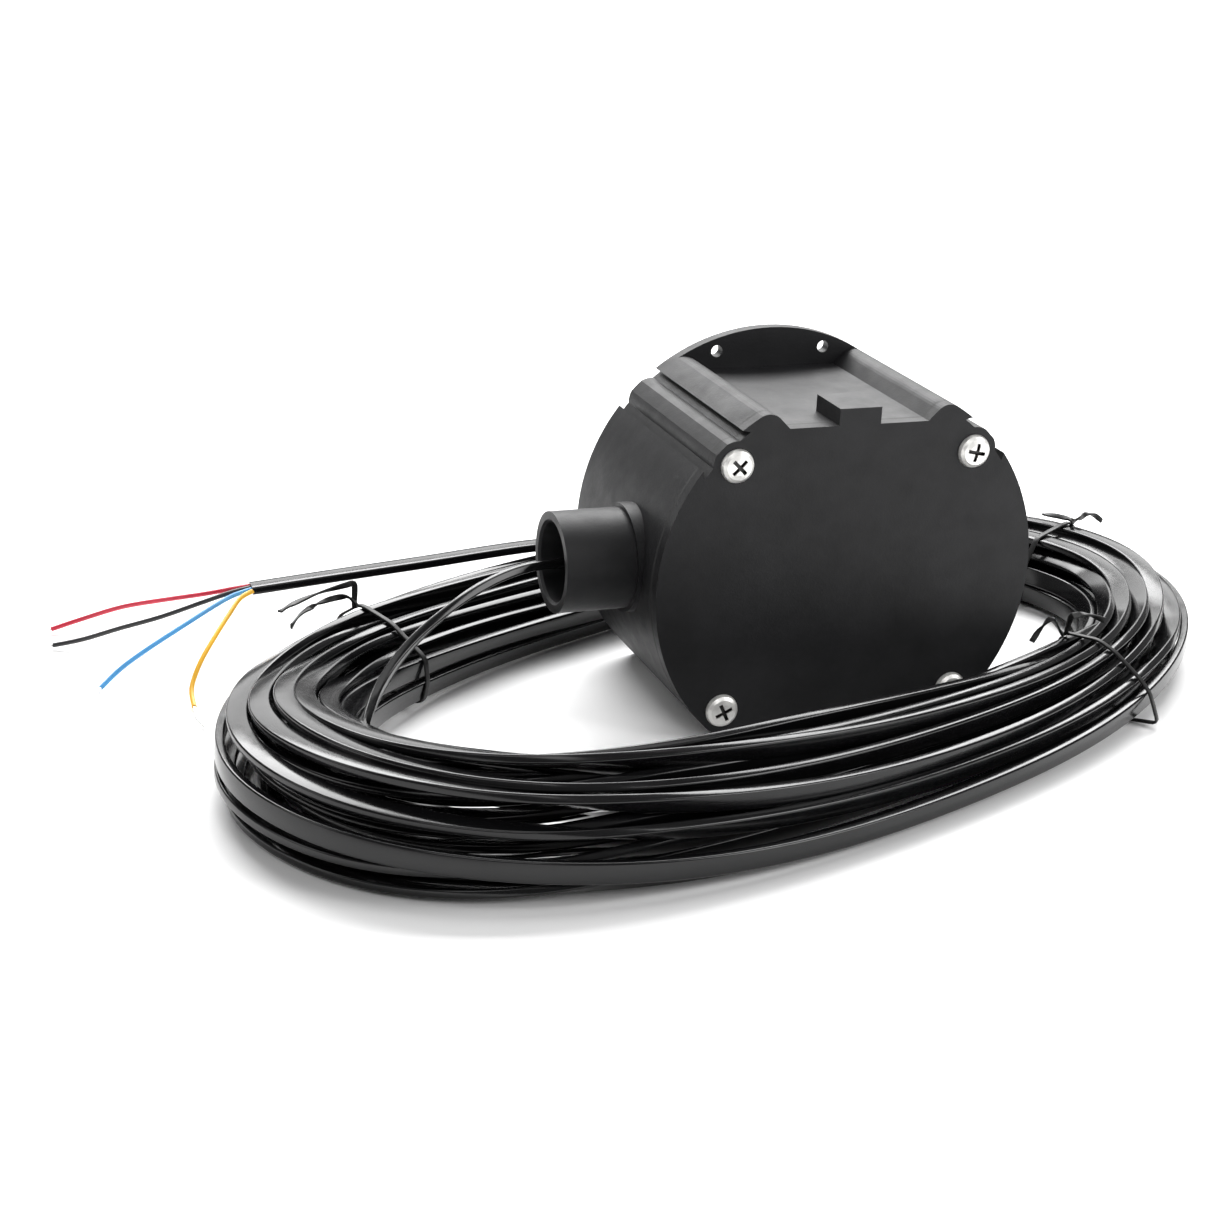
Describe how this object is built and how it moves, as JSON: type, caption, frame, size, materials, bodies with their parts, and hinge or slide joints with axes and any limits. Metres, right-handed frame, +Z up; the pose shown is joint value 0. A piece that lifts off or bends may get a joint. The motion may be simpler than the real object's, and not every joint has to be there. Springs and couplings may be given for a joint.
{
  "type": "cup anemometer sensor head",
  "caption": "Round sensor head of a cup anemometer with a screwed cover, a pipe socket, a ball-bearing spindle for the cup wheel and a long coiled flat cable with bare leads.",
  "frame": {"origin": "middle of the flat bottom that the drum rests on, under the drum axis, halfway between the front cover's face and the rear face", "axes": "+X to the right seen from the cover, so the pipe socket points to -X; +Y from the cover along the spindle; +Z up, with the recess and the block on top"},
  "size_m": [0.3028, 0.183, 0.085],
  "materials": {
    "housing_plastic": "moulded black plastic, fine grain",
    "rubber": "dull black rubber",
    "nickel_screws": "nickel plated, bright",
    "steel": "ground stainless steel",
    "brass": "turned brass",
    "board": "green solder mask on glass laminate",
    "components": "moulded component body",
    "terminal": "green moulded terminal block",
    "carrier": "moulded black acetal",
    "cable_jacket": "glossy black PVC",
    "core_red": "red PVC",
    "core_black": "black PVC",
    "core_blue": "blue PVC",
    "core_yellow": "yellow PVC",
    "tinned_copper": "tinned copper strands",
    "tie": "black plastic coated wire tie"
  },
  "bodies": {
    "root": {"housing": "housing_plastic", "front_cover": "housing_plastic", "cover_gasket": "rubber", "cover_screws": "nickel_screws", "thread_inserts": "brass", "outer_ring_front": "steel", "outer_ring_rear": "steel", "bore_circlip": "steel", "shaft_seal": "rubber", "circuit_board": "board", "hall_sensors": "components", "microchip": "components", "board_capacitors": "steel", "board_screws": "nickel_screws", "terminal_block": "terminal", "terminal_screws": "nickel_screws", "cable_clamp": "components", "clamp_screws": "nickel_screws", "cable_inner": "cable_jacket", "wire_red": "core_red", "wire_black": "core_black", "wire_blue": "core_blue", "wire_yellow": "core_yellow", "cable_lead": "cable_jacket", "cable_coil": "cable_jacket", "cable_tail": "cable_jacket", "lead_red": "core_red", "lead_black": "core_black", "lead_blue": "core_blue", "lead_yellow": "core_yellow", "tip_red": "tinned_copper", "tip_black": "tinned_copper", "tip_blue": "tinned_copper", "tip_yellow": "tinned_copper", "tie_left": "tie", "tie_right": "tie", "tie_rear": "tie"},
    "rotor": {"spindle": "steel", "inner_ring_front": "steel", "inner_ring_rear": "steel", "bearing_balls_front": "nickel_screws", "bearing_balls_rear": "nickel_screws", "spacer_sleeve": "steel", "spindle_clip": "steel", "magnet_carrier": "carrier", "carrier_screw": "nickel_screws", "magnets": "nickel_screws", "drip_collar": "carrier"}
  },
  "joints": [
    {"name": "spindle_spin", "type": "hinge", "parent": "root", "child": "rotor", "pos_m": [0, 0, 0.037], "axis": [0, 1, 0], "continuous": true}
  ]
}
